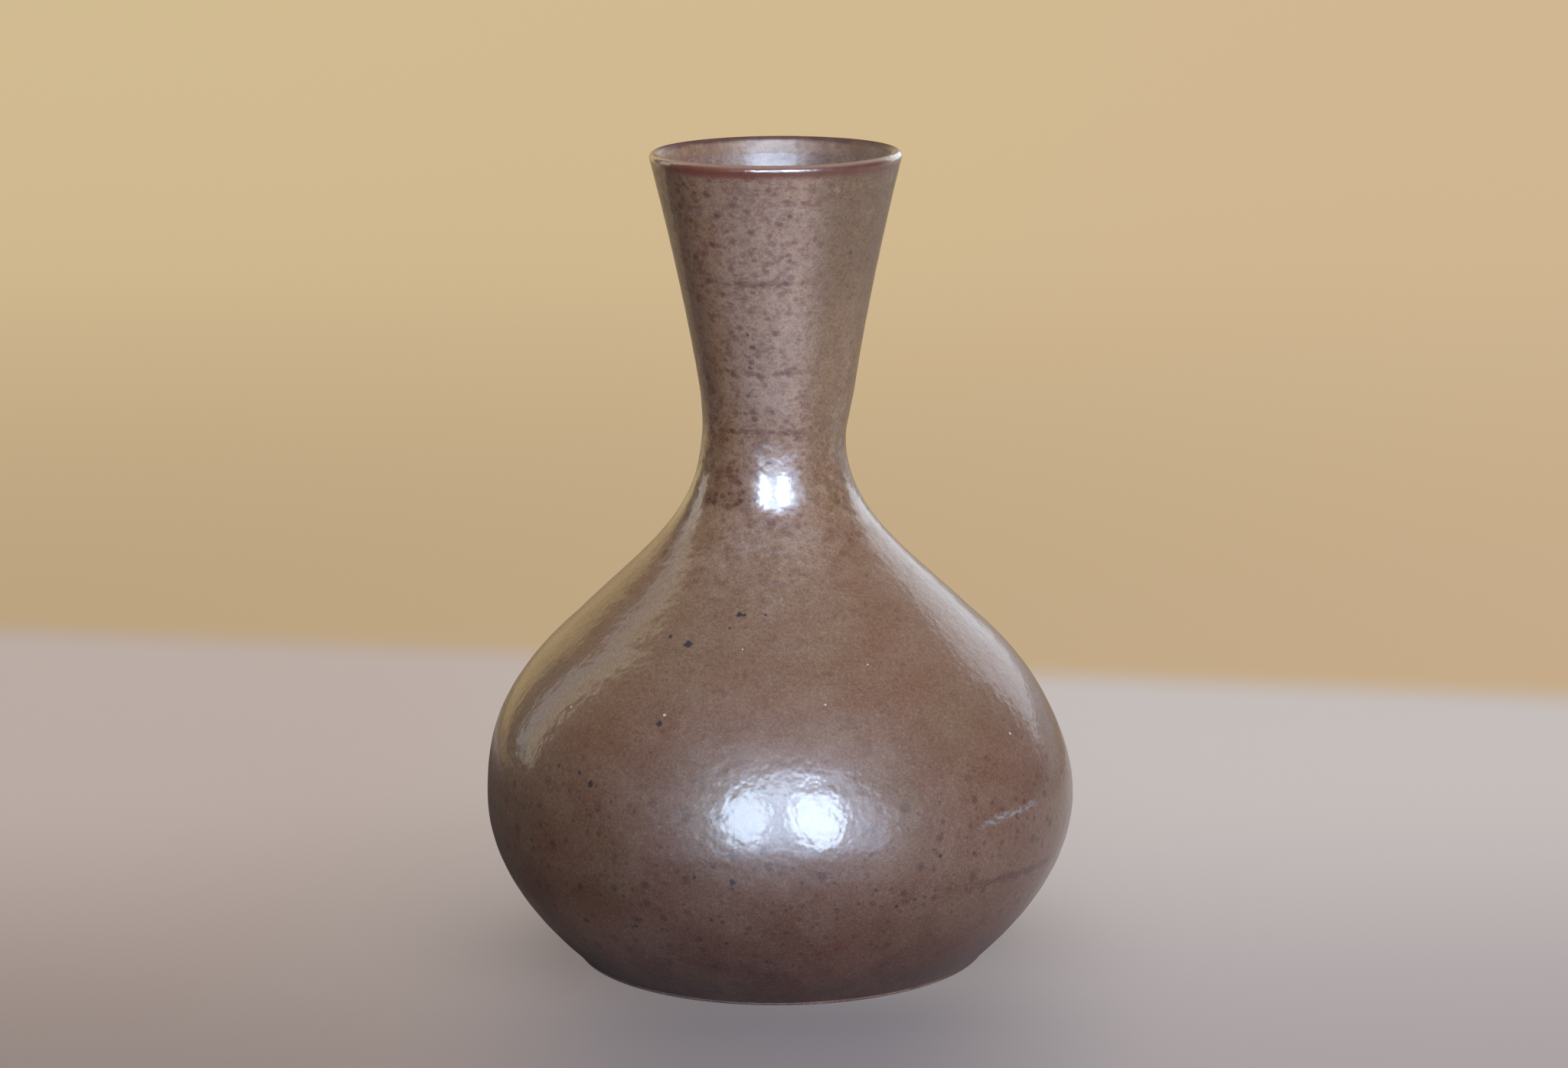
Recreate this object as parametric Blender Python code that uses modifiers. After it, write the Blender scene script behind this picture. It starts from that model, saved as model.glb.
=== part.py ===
"""Globe vase: a wheel-thrown stoneware bottle with a low round globe and a tall flared neck.

Metres, +Z up. The origin is the middle of the foot, on the surface that the vase stands on.

Every piece is turned round Z. All of them come from one path over the glazed surface, drawn in
the plane of radius and height: up the outside from the foot, over the lip, and down the inside
to the middle of the floor. Clay and glaze lie at set depths under that path.
"""

import math
from dataclasses import dataclass

import bpy
import numpy as np

# Overall sizes, over the glaze
TOTAL_HEIGHT = 0.2000
FOOT_RADIUS = 0.0510
BELLY_RADIUS = 0.0730
BELLY_HEIGHT = 0.0400
SHOULDER_RADIUS = 0.0491
SHOULDER_HEIGHT = 0.0847
WAIST_RADIUS = 0.01775
WAIST_HEIGHT = 0.1310
RIM_RADIUS = 0.0307

# Slopes of the outline, in degrees from upright
FOOT_LEAN = 45.0
SHOULDER_LEAN = 45.0
RIM_LEAN = 14.0
MOUTH_LEAN = 15.5

# Fullness of each curve at its lower and its upper end, as shares of the curve's straight length
FOOT_TO_BELLY = (0.12, 0.446)
BELLY_TO_SHOULDER = (0.51, 0.10)
SHOULDER_TO_WAIST = (0.40, 0.376)
WAIST_TO_RIM = (0.044, 0.595)
FLOOR_TO_BELLY = (0.73, 0.27)

# Thickness of the clay
LIP_CLAY = 0.0011
NECK_CLAY = 0.0030
SHOULDER_CLAY = 0.0032
BELLY_CLAY = 0.0036
FLOOR_CLAY = 0.0060

# Foot
FOOT_EDGE = 0.0006
FOOT_RING_WIDTH = 0.0085
FOOT_RECESS = 0.0020
RECESS_SLOPE_WIDTH = 0.0030

# Glaze and slip
GLAZE = 0.0006
BARE_FOOT = 0.0015
LAP_DEPTH = 0.0040
SLIP = 0.0010

# Clearance between pieces that touch
CLEARANCE = 0.0003

# Facets round the axis, along each curve, and on each half of the lip's round
TURN_STEPS = 48
GLOBE_STEPS = 6
NECK_STEPS = 3
LIP_STEPS = 3
FINE_STEPS = 400

# How much a metre of straight outline counts beside a radian of bend, where rings are shared out
STRAIGHT_WEIGHT = 4.0

# Points of a turned shape this near each other are one point
MERGE_WITHIN = 0.00001

# What follows from the sizes above
COAT = GLAZE + CLEARANCE
LIP_ROUND = LIP_CLAY / 2 + COAT
SEAM_HALF = SLIP / 2 + CLEARANCE
LAP_HEIGHT = TOTAL_HEIGHT - LAP_DEPTH


@dataclass(frozen=True)
class Station:
    """A place that an outline passes through, leaning out from upright by an angle in degrees."""

    radius: float
    height: float
    lean: float

    def point(self):
        return np.array([self.radius, self.height])

    def heading(self):
        """The way up the outline at this place."""
        lean = math.radians(self.lean)
        return np.array([math.sin(lean), math.cos(lean)])

    def inside(self, depth):
        """The station that lies this far under the surface here."""
        along_radius, along_height = self.heading()
        return Station(self.radius - depth * along_height, self.height + depth * along_radius, self.lean)


def fine_curve(low, high, fullness):
    """Many rings up a smooth curve between two stations.

    It is a cubic curve that leaves and reaches its stations along their headings. A ring is its
    radius, its height, and the two parts of the unit vector that points out of the surface there.
    """
    start, end = low.point(), high.point()
    span = np.linalg.norm(end - start)
    leaving = start + low.heading() * fullness[0] * span
    reaching = end - high.heading() * fullness[1] * span
    t = np.linspace(0, 1, FINE_STEPS + 1)[:, None]
    s = 1 - t
    points = s**3 * start + 3 * s**2 * t * leaving + 3 * s * t**2 * reaching + t**3 * end
    slopes = s**2 * (leaving - start) + 2 * s * t * (reaching - leaving) + t**2 * (end - reaching)
    slopes /= np.linalg.norm(slopes, axis=1, keepdims=True)
    outward = np.column_stack([slopes[:, 1], -slopes[:, 0]])
    return np.hstack([points, outward])


def curve(low, high, fullness, steps):
    """Rings up the same curve, closer together where it bends more."""
    rings = fine_curve(low, high, fullness)
    bends = np.linalg.norm(np.diff(rings[:, 2:], axis=0), axis=1)
    lengths = np.linalg.norm(np.diff(rings[:, :2], axis=0), axis=1)
    so_far = np.concatenate([[0], np.cumsum(bends + STRAIGHT_WEIGHT * lengths)])
    stops = np.linspace(0, so_far[-1], steps + 1)
    return np.column_stack([np.interp(stops, so_far, column) for column in rings.T])


def reversed_inside(rings):
    """The same rings from the top down, facing the axis."""
    return rings[::-1] * np.array([1, 1, -1, -1])


def ring_at(rings, height):
    """The one ring at a height, read off a finely divided curve that climbs."""
    return np.array([[np.interp(height, rings[:, 1], column) for column in rings.T]])


def under(rings, depth):
    """The points at a depth under the surface that the rings lie on."""
    return rings[:, :2] - depth * rings[:, 2:]


# Stations on the outside
FOOT = Station(FOOT_RADIUS, FOOT_EDGE, FOOT_LEAN)
BELLY = Station(BELLY_RADIUS, BELLY_HEIGHT, 0)
SHOULDER = Station(SHOULDER_RADIUS, SHOULDER_HEIGHT, -SHOULDER_LEAN)
WAIST = Station(WAIST_RADIUS, WAIST_HEIGHT, 0)

# Stations on the inside
FLOOR = Station(0, FOOT_RECESS + FLOOR_CLAY + COAT, 90)
BELLY_INSIDE = BELLY.inside(BELLY_CLAY + 2 * COAT)
SHOULDER_INSIDE = SHOULDER.inside(SHOULDER_CLAY + 2 * COAT)
WAIST_INSIDE = WAIST.inside(NECK_CLAY + 2 * COAT)


def lip_station(lean, side):
    """Where the round of the lip meets the neck: outside with side 1, inside with side -1."""
    way_out = math.radians(-lean)
    radius = RIM_RADIUS - LIP_ROUND + side * LIP_ROUND * math.cos(way_out)
    height = TOTAL_HEIGHT - LIP_ROUND + side * LIP_ROUND * math.sin(way_out)
    return Station(radius, height, lean)


RIM = lip_station(RIM_LEAN, 1)
MOUTH = lip_station(MOUTH_LEAN, -1)


def globe_outside():
    """Rings up the outside from the glaze's lower edge to the waist."""
    to_belly = curve(FOOT, BELLY, FOOT_TO_BELLY, GLOBE_STEPS)
    edge = ring_at(fine_curve(FOOT, BELLY, FOOT_TO_BELLY), BARE_FOOT)
    to_shoulder = curve(BELLY, SHOULDER, BELLY_TO_SHOULDER, GLOBE_STEPS)
    to_waist = curve(SHOULDER, WAIST, SHOULDER_TO_WAIST, GLOBE_STEPS)
    above_edge = to_belly[to_belly[:, 1] > BARE_FOOT]
    return np.vstack([edge, above_edge, to_shoulder[1:], to_waist[1:]])


def neck_outside():
    """Rings up the outside from the waist to the lip."""
    return curve(WAIST, RIM, WAIST_TO_RIM, NECK_STEPS)


def lip():
    """Rings over the round of the lip, from outside to inside."""
    to_crest = np.linspace(-RIM_LEAN, 90, LIP_STEPS + 1)
    to_mouth = np.linspace(90, 180 - MOUTH_LEAN, LIP_STEPS + 1)
    angles = np.radians(np.concatenate([to_crest, to_mouth[1:]]))
    outward = np.column_stack([np.cos(angles), np.sin(angles)])
    centre = np.array([RIM_RADIUS - LIP_ROUND, TOTAL_HEIGHT - LIP_ROUND])
    return np.hstack([centre + LIP_ROUND * outward, outward])


def mouth_ring(height):
    """The ring inside the neck at a height."""
    return reversed_inside(ring_at(fine_curve(WAIST_INSIDE, MOUTH, WAIST_TO_RIM), height))


def neck_inside():
    """Rings down the inside from just under the lap to the waist."""
    liner_top = LAP_HEIGHT - CLEARANCE
    rings = reversed_inside(curve(WAIST_INSIDE, MOUTH, WAIST_TO_RIM, NECK_STEPS))
    return np.vstack([mouth_ring(liner_top), rings[rings[:, 1] < liner_top]])


def globe_inside():
    """Rings down the inside from the waist to the middle of the floor."""
    from_floor = curve(FLOOR, BELLY_INSIDE, FLOOR_TO_BELLY, GLOBE_STEPS)
    from_belly = curve(BELLY_INSIDE, SHOULDER_INSIDE, BELLY_TO_SHOULDER, GLOBE_STEPS)
    from_shoulder = curve(SHOULDER_INSIDE, WAIST_INSIDE, SHOULDER_TO_WAIST, GLOBE_STEPS)
    upwards = np.vstack([from_floor[:-1], from_belly[:-1], from_shoulder])
    return reversed_inside(upwards)


def over_the_lip():
    """Rings up the neck, over the lip and down to the lap inside the mouth."""
    return np.vstack([neck_outside(), lip()[1:], mouth_ring(LAP_HEIGHT)])


def seam_point(radius, side):
    """A corner at the seam, over the slip with side 1 or under it with side -1."""
    return np.array([[radius, WAIST_HEIGHT + side * SEAM_HALF]])


def material(name, colour, roughness):
    """A plain glossy or matt finish."""
    made = bpy.data.materials.new(name)
    made.use_nodes = True
    shader = made.node_tree.nodes["Principled BSDF"]
    shader.inputs["Base Color"].default_value = (*colour, 1)
    shader.inputs["Roughness"].default_value = roughness
    shader.inputs["Metallic"].default_value = 0
    made.diffuse_color = (*colour, 1)
    made.roughness = roughness
    return made


def turned(name, profile, finish, collection, is_loop):
    """An object turned round Z from a profile that runs down its outer side."""
    mesh = bpy.data.meshes.new(name)
    corners = [(radius, 0, height) for radius, height in profile]
    edges = [(i, i + 1) for i in range(len(corners) - 1)]
    if is_loop:
        edges.append((len(corners) - 1, 0))
    mesh.from_pydata(corners, edges, [])
    mesh.materials.append(finish)
    piece = bpy.data.objects.new(name, mesh)
    collection.objects.link(piece)
    screw = piece.modifiers.new("Turn", "SCREW")
    screw.axis = "Z"
    screw.angle = 2 * math.pi
    screw.steps = TURN_STEPS
    screw.render_steps = TURN_STEPS
    screw.use_merge_vertices = True
    screw.merge_threshold = MERGE_WITHIN
    screw.use_smooth_shade = True
    piece.modifiers.new("Flat faces look flat", "WEIGHTED_NORMAL")
    return piece


def make_globe(collection):
    """The clay globe: its outside, the foot ring and recess under it, and its inside."""
    ring_inner = FOOT_RADIUS - FOOT_RING_WIDTH
    outside = under(globe_outside(), COAT)[:-1]
    inside = under(globe_inside(), COAT)[1:]
    underside = [
        (FOOT_RADIUS, FOOT_EDGE),
        (FOOT_RADIUS - FOOT_EDGE, 0),
        (ring_inner, 0),
        (ring_inner - RECESS_SLOPE_WIDTH, FOOT_RECESS),
        (0, FOOT_RECESS),
    ]
    collar = [
        seam_point(WAIST_INSIDE.radius + COAT, -1),
        seam_point(WAIST_RADIUS - COAT, -1),
    ]
    profile = np.vstack([inside[::-1], *collar, outside[::-1], underside])
    finish = material("fired_stoneware", (0.42, 0.29, 0.21), 0.85)
    return turned("thrown_globe", profile, finish, collection, is_loop=False)


def make_neck(collection):
    """The clay neck, from the seam up over the lip and back down inside."""
    outside = under(over_the_lip(), COAT)[1:]
    inside = under(neck_inside(), COAT)[1:-1]
    base = [
        seam_point(WAIST_RADIUS - COAT, 1),
        seam_point(WAIST_INSIDE.radius + COAT, 1),
    ]
    profile = np.vstack([base[1], inside[::-1], outside[::-1], base[0]])
    finish = material("neck_stoneware", (0.40, 0.28, 0.20), 0.85)
    return turned("luted_neck", profile, finish, collection, is_loop=True)


def make_slip(collection):
    """The flat ring of slip in the seam at the waist."""
    inner = WAIST_INSIDE.radius + COAT
    outer = WAIST_RADIUS - COAT
    low, high = WAIST_HEIGHT - SLIP / 2, WAIST_HEIGHT + SLIP / 2
    profile = [(inner, high), (outer, high), (outer, low), (inner, low)]
    finish = material("fired_slip", (0.36, 0.25, 0.18), 0.9)
    return turned("luting_slip", profile, finish, collection, is_loop=True)


def make_outer_glaze(collection):
    """The glaze outside, over the lip and down to the lap inside the mouth."""
    rings = np.vstack([globe_outside(), over_the_lip()[1:]])
    profile = np.vstack([rings[::-1, :2], under(rings, GLAZE)])
    finish = material("brown_glaze", (0.17, 0.105, 0.085), 0.25)
    return turned("outer_glaze", profile, finish, collection, is_loop=True)


def make_liner_glaze(collection):
    """The glaze inside, from under the lap to the middle of the floor."""
    rings = np.vstack([neck_inside(), globe_inside()[1:]])
    profile = np.vstack([rings[::-1, :2], under(rings, GLAZE)])
    finish = material("liner_glaze", (0.16, 0.10, 0.08), 0.3)
    return turned("liner_glaze", profile, finish, collection, is_loop=False)


def clear_scene():
    for thing in list(bpy.data.objects):
        bpy.data.objects.remove(thing, do_unlink=True)


def main():
    clear_scene()
    vase = bpy.data.collections.new("globe_vase")
    bpy.context.scene.collection.children.link(vase)
    make_globe(vase)
    make_neck(vase)
    make_slip(vase)
    make_outer_glaze(vase)
    make_liner_glaze(vase)


main()
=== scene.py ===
"""Looks of the globe vase: fine clay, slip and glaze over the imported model, in a plain pale room.

Metres, +Z up, with the middle of the foot at the origin. The photograph looks along +Y.

Every piece follows one path over the glazed surface, drawn in the plane of radius and height: up
the outside from the foot, over the lip, and down the inside to the middle of the floor. A place on
a piece is a distance along that path, a depth under it, and an angle round the axis.
"""

import math

import bpy
import numpy as np
from mathutils import Matrix, Vector


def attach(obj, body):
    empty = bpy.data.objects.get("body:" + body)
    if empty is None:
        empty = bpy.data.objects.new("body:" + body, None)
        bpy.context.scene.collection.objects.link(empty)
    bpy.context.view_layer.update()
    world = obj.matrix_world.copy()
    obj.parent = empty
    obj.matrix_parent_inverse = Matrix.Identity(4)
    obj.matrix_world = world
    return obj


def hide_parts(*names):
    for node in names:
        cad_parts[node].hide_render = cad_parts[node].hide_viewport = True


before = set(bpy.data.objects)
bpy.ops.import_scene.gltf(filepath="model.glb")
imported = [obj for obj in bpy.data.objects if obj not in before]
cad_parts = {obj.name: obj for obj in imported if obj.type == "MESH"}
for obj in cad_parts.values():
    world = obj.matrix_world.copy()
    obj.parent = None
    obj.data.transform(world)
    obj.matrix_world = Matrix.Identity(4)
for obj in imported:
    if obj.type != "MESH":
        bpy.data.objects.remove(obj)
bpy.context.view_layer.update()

# Sizes over the glaze, as in the solids
HEIGHT = 0.2000
FOOT_RADIUS = 0.0510
BELLY_RADIUS = 0.0730
BELLY_HEIGHT = 0.0400
SHOULDER_RADIUS = 0.0491
SHOULDER_HEIGHT = 0.0847
WAIST_RADIUS = 0.01775
WAIST_HEIGHT = 0.1310
RIM_RADIUS = 0.0307

# Degrees by which the way up leans out from upright
FOOT_LEAN = 45.0
SHOULDER_LEAN = -45.0
RIM_LEAN = 14.0
MOUTH_LEAN = 15.5
FLOOR_LEAN = 90.0

# How far a leg of the path keeps its first and last heading, as shares of its straight span
FOOT_TO_BELLY = (0.12, 0.446)
BELLY_TO_SHOULDER = (0.51, 0.10)
SHOULDER_TO_WAIST = (0.40, 0.376)
WAIST_TO_RIM = (0.044, 0.595)
FLOOR_TO_BELLY = (0.73, 0.27)

# Clay, glaze and the gaps between them
LIP_CLAY = 0.0011
NECK_CLAY = 0.0030
SHOULDER_CLAY = 0.0032
BELLY_CLAY = 0.0036
FLOOR_CLAY = 0.0060
FOOT_EDGE = 0.0006
FOOT_RING_WIDTH = 0.0085
FOOT_RECESS = 0.0020
RECESS_SLOPE_WIDTH = 0.0030
GLAZE = 0.0006
LAP_DEPTH = 0.0040
SLIP = 0.0010
CLEARANCE = 0.0003
COAT = GLAZE + CLEARANCE
LIP_ROUND = LIP_CLAY / 2 + COAT
SEAM_HALF = SLIP / 2 + CLEARANCE

# How the globe stands off the axis, and the heights between which that begins and ends
LEAN_LEFT = 0.00115
LEAN_BACK = 0.0011
LEAN_BEGINS = (0.040, 0.064)
LEFT_LEAN_ENDS = (0.1245, 0.1430)
BACK_LEAN_ENDS = (0.112, 0.130)

# How unevenly it was thrown, turned and joined
RING_PITCH = 0.0068
RING_DEPTH = 0.00003
SLOW_DEPTH = 0.00008
LINE_HEIGHTS = (0.1338, 0.1399, 0.1487, 0.1709)
LINE_DEPTH = 0.00001
LINE_WIDTH = 0.0007
TURNING_PITCH = 0.0024
TURNING_DEPTH = 0.00005
TURNING_BEGINS = (0.0, 0.004)
SLOPE_MARGIN = 0.001
SLOPE_EASE = 0.0008
RING_MARGIN = 0.0014
FOOT_EDGE_BEGINS = -80.0
SLIP_BULGE = 0.0002

# How unevenly it was dipped, and the edges of its coats
RIPPLE_DEPTH = 0.00003
FINE_RIPPLE_SHARE = 0.7
DIPPED_TO = 0.0007
EDGE_WAVE = 0.0001
EDGE_GAIN = 6
EDGE_FADES = (0.001, 0.006)
LAP_CORNER = 0.00001
LAP_GAP = 0.000004
LAP_EDGE = 0.00003

# Random waves: seed, shortest and longest wavelength, and how many
SLOW_WAVES = (3, 0.05, 0.12, 9)
RIPPLES = (7, 0.007, 0.011, 60)
FINE_RIPPLES = (8, 0.0045, 0.007, 60)
EDGE_WAVES = (5, 0.012, 0.09, 24)

# How finely the surfaces are divided: round the axis, along a leg, and in rows along each piece
ROUND = 320
FINE = 600
GLAZE_ROWS, GLAZE_BACK_ROWS = 214, 44
LINER_ROWS, LINER_BACK_ROWS = 160, 60
GLOBE_ROWS = 85
NECK_ROWS = 150
RECESS_ROWS, SLOPE_ROWS, RING_ROWS, FOOT_EDGE_ROWS = 90, 16, 12, 6
HALF_CIRCLE_ROWS = 9
CORNER_ROWS = 4

# Rows come closer where the path bends: a metre of it counts as much as a bend of 40 radians
STRAIGHT_EFFORT = 40

# Rows across a line in the clay, in widths of the line
LINE_STEPS = np.linspace(-1.6, 1.6, 5)

ANGLES = np.arange(ROUND) * math.tau / ROUND


# The path over the glazed surface

def station(radius, height, lean, depth=0.0):
    """A place on the path, or this far under it, and the way up there, leaning out from upright."""
    way = np.array([math.sin(math.radians(lean)), math.cos(math.radians(lean))])
    return np.array([radius - depth * way[1], height + depth * way[0]]), way


def both_sides(radius, height, lean, clay):
    """The stations outside and inside a wall with this much clay."""
    return station(radius, height, lean), station(radius, height, lean, clay + 2 * COAT)


def climb(low, high, fullness):
    """Fine points up a smooth curve between two stations.

    Cubic curve: s^3 start + 3 s^2 t leaving + 3 s t^2 reaching + t^3 end, with s = 1 - t, which
    leaves and reaches its stations along their headings, by shares of the straight span.
    """
    (start, way_out), (end, way_in) = low, high
    span = np.linalg.norm(end - start)
    leaving = start + way_out * fullness[0] * span
    reaching = end - way_in * fullness[1] * span
    t = np.linspace(0, 1, FINE)[:, None]
    s = 1 - t
    return s**3 * start + 3 * s**2 * t * leaving + 3 * s * t**2 * reaching + t**3 * end


def arc(centre, radius, start, end):
    """Fine points on an arc: centre + radius (cos a, sin a), a in degrees from start to end."""
    a = np.radians(np.linspace(start, end, FINE))
    return np.array(centre) + radius * np.column_stack([np.cos(a), np.sin(a)])


class Path:
    """The glazed surface from the foot to the middle of the floor, by distance along it.

    Its lookups take arrays of any shape. The normal is the heading turned a quarter to the right.
    """

    def __init__(self, legs):
        points = np.vstack([legs[0], *[leg[1:] for leg in legs[1:]]])
        steps = np.linalg.norm(np.diff(points, axis=0), axis=1)
        self.points = points
        self.along = np.concatenate([[0], np.cumsum(steps)])
        self.ends = np.cumsum([len(legs[0]) - 1, *[len(leg) - 1 for leg in legs[1:]]])
        heading = np.gradient(points, self.along, axis=0)
        heading /= np.linalg.norm(heading, axis=1, keepdims=True)
        self.outward = np.column_stack([heading[:, 1], -heading[:, 0]])
        bends = np.linalg.norm(np.diff(self.outward, axis=0), axis=1)
        self.effort = np.concatenate([[0], np.cumsum(bends + STRAIGHT_EFFORT * steps)])

    def end(self, leg):
        """The distance along the path at the end of a leg, counted from 0."""
        return self.along[self.ends[leg]]

    def place(self, along, depth):
        """Radius and height at distances along the path and depths under it."""
        radius, height, out_r, out_z = (
            np.interp(along, self.along, column)
            for column in (*self.points.T, *self.outward.T)
        )
        return radius - depth * out_r, height - depth * out_z

    def where(self, height, low, high):
        """The distance at a height, between two distances where the path climbs or falls."""
        part = (self.along >= low) & (self.along <= high)
        heights, along = self.points[part, 1], self.along[part]
        order = np.argsort(heights)
        return float(np.interp(height, heights[order], along[order]))

    def stops(self, low, high, count):
        """Distances between two others, closer together where the path bends more."""
        reach = np.interp([low, high], self.along, self.effort)
        return np.interp(np.linspace(*reach, count), self.effort, self.along)


def glazed_path():
    """The legs of the path, in the order of the pot's outside, lip and inside."""
    lip_centre = (RIM_RADIUS - LIP_ROUND, HEIGHT - LIP_ROUND)
    rim = station(*lip_centre, RIM_LEAN, -LIP_ROUND)
    mouth = station(*lip_centre, MOUTH_LEAN, LIP_ROUND)
    foot = station(FOOT_RADIUS, FOOT_EDGE, FOOT_LEAN)
    floor = station(0, FOOT_RECESS + FLOOR_CLAY + COAT, FLOOR_LEAN)
    belly, belly_in = both_sides(BELLY_RADIUS, BELLY_HEIGHT, 0, BELLY_CLAY)
    shoulder, shoulder_in = both_sides(
        SHOULDER_RADIUS, SHOULDER_HEIGHT, SHOULDER_LEAN, SHOULDER_CLAY)
    waist, waist_in = both_sides(WAIST_RADIUS, WAIST_HEIGHT, 0, NECK_CLAY)
    return Path([
        climb(foot, belly, FOOT_TO_BELLY),
        climb(belly, shoulder, BELLY_TO_SHOULDER),
        climb(shoulder, waist, SHOULDER_TO_WAIST),
        climb(waist, rim, WAIST_TO_RIM),
        arc(lip_centre, LIP_ROUND, -RIM_LEAN, 180 - MOUTH_LEAN),
        climb(waist_in, mouth, WAIST_TO_RIM)[::-1],
        climb(shoulder_in, waist_in, SHOULDER_TO_WAIST)[::-1],
        climb(belly_in, shoulder_in, BELLY_TO_SHOULDER)[::-1],
        climb(floor, belly_in, FLOOR_TO_BELLY)[::-1],
    ])


PATH = glazed_path()
TO_WAIST, TO_RIM, TO_MOUTH, DOWN_TO_WAIST, DOWN_TO_SHOULDER = (
    PATH.end(leg) for leg in (2, 3, 4, 5, 6))
TO_FLOOR = PATH.along[-1]
GLAZE_EDGE = PATH.where(DIPPED_TO, 0, TO_WAIST / 3)
LAP = PATH.where(HEIGHT - LAP_DEPTH, TO_MOUTH, DOWN_TO_WAIST)
LINES = [PATH.where(height, TO_WAIST, TO_RIM) for height in LINE_HEIGHTS]


# Unevenness of hand work

def smooth(value, low, high):
    """0 below low, 1 above high, and 3 t^2 - 2 t^3 between them."""
    t = np.clip((value - low) / (high - low), 0, 1)
    return t * t * (3 - 2 * t)


def waves(along, angle, seed, shortest, longest, count):
    """A gently random surface between 0 and 1 that closes round the axis.

    Mean of cosines of (turns * angle + rate * along + start), with the turns and rate of each
    drawn at random so that its wavelength at the belly lies between two lengths.
    """
    rng = np.random.default_rng(seed)
    total = 0
    for length, slant, start in zip(
        rng.uniform(shortest, longest, count),
        rng.uniform(-math.pi, math.pi, count),
        rng.uniform(0, math.tau, count),
    ):
        turns = round(math.tau * BELLY_RADIUS * math.cos(slant) / length)
        rate = math.tau * math.sin(slant) / length
        total = total + np.cos(turns * angle + rate * along + start)
    return 0.5 + total / (2 * count)


def thrown_unevenness(along, angle):
    """How far the wall stands inside its true shape.

    Throwing rings on a spiral, slow waves, and lines cut by a finger: exp(-(distance / width)^2).
    """
    rings = 0.5 + 0.5 * np.cos(math.tau * along / RING_PITCH - angle)
    slow = waves(along, angle, *SLOW_WAVES)
    lines = sum(np.exp(-((along - line) / LINE_WIDTH) ** 2) for line in LINES)
    return RING_DEPTH * rings + SLOW_DEPTH * slow + LINE_DEPTH * lines


def glaze_ripple(along, angle):
    """How far the glaze's skin lies under its highest places."""
    fine = FINE_RIPPLE_SHARE * waves(along, angle, *FINE_RIPPLES)
    return RIPPLE_DEPTH * (waves(along, angle, *RIPPLES) + fine)


def edge_wave(along, angle):
    """How far the glaze's lower edge wanders along the path: the same at every distance along."""
    swing = EDGE_GAIN * waves(0 * along, angle, *EDGE_WAVES) - EDGE_GAIN / 2
    return EDGE_WAVE * swing.clip(-1, 1)


def near_edge(along):
    """1 at the glaze's lower edge, falling to 0 a few millimetres up."""
    begins, ends = EDGE_FADES
    return 1 - smooth(along, GLAZE_EDGE + begins, GLAZE_EDGE + ends)


def lean(height):
    """How far the pot stands left of its axis and behind it.

    Both are none at the belly and above the seam, and most at the shoulder. The left one ends
    higher up than the back one.
    """
    risen = smooth(height, *LEAN_BEGINS)
    left = risen * (1 - smooth(height, *LEFT_LEAN_ENDS))
    back = risen * (1 - smooth(height, *BACK_LEAN_ENDS))
    return -LEAN_LEFT * left, LEAN_BACK * back


def turned(radius, height, angle):
    """Points (r cos a + lean to the left, r sin a + lean to the back, z)."""
    left, back = lean(height)
    return np.stack([radius * np.cos(angle) + left, radius * np.sin(angle) + back, height], -1)


# Surfaces

def turned_grid(along, depth, edge):
    """A grid of points, one row for each place on a profile and one column for each angle.

    Radius and height are the path's at this distance and depth. The glaze's ripple fades from its
    skin to its back. Edge is the share of the wave that the glaze's lower edge makes.
    """
    along, depth, edge = (column[:, None] for column in (along, depth, edge))
    here = along + edge_wave(along, ANGLES) * edge
    ripple = glaze_ripple(here, ANGLES) * (1 - depth / GLAZE).clip(0, 1)
    radius, height = PATH.place(here, depth + thrown_unevenness(here, ANGLES) + ripple)
    return turned(radius, height, ANGLES)


def ring_grid(radius, height):
    """A grid of points turned from radii and heights, for places off the path."""
    radius, height = (column[:, None] + 0 * ANGLES for column in (radius, height))
    return turned(radius, height, ANGLES)


def shell(grid, closed):
    """The points and faces of a grid that climbs its outside.

    A closed grid joins its last row to its first. Otherwise its first and last rows lie on the
    axis, and each becomes one point with a fan of triangles.
    """
    walls = grid if closed else grid[1:-1]
    rows, columns = walls.shape[:2]
    points = walls.reshape(-1, 3)
    index = np.arange(rows * columns).reshape(rows, columns)
    if closed:
        index = np.vstack([index, index[:1]])
    right = np.roll(index, -1, axis=1)
    quads = np.stack([index[:-1], right[:-1], right[1:], index[1:]], -1).reshape(-1, 4)
    if closed:
        return points, quads.tolist()
    low, high = np.full(columns, len(points)), np.full(columns, len(points) + 1)
    first = np.column_stack([low, right[0], index[0]])
    last = np.column_stack([high, index[-1], right[-1]])
    poles = grid[[0, -1]].mean(axis=1)
    return np.vstack([points, poles]), quads.tolist() + first.tolist() + last.tolist()


def linked(name, data):
    """A new object in the scene."""
    made = bpy.data.objects.new(name, data)
    bpy.context.scene.collection.objects.link(made)
    return made


def smooth_piece(name, points, faces, finish):
    """A smoothly shaded piece with one finish."""
    mesh = bpy.data.meshes.new(name)
    mesh.from_pydata(points.tolist(), [], faces)
    mesh.shade_smooth()
    mesh.materials.append(finish)
    return linked(name, mesh)


def skin(name, grid, closed, finish, node):
    """A piece from a grid of points, which stands for one solid."""
    piece = smooth_piece(name, *shell(grid, closed), finish)
    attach(piece, "root")
    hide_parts(node)


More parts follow.
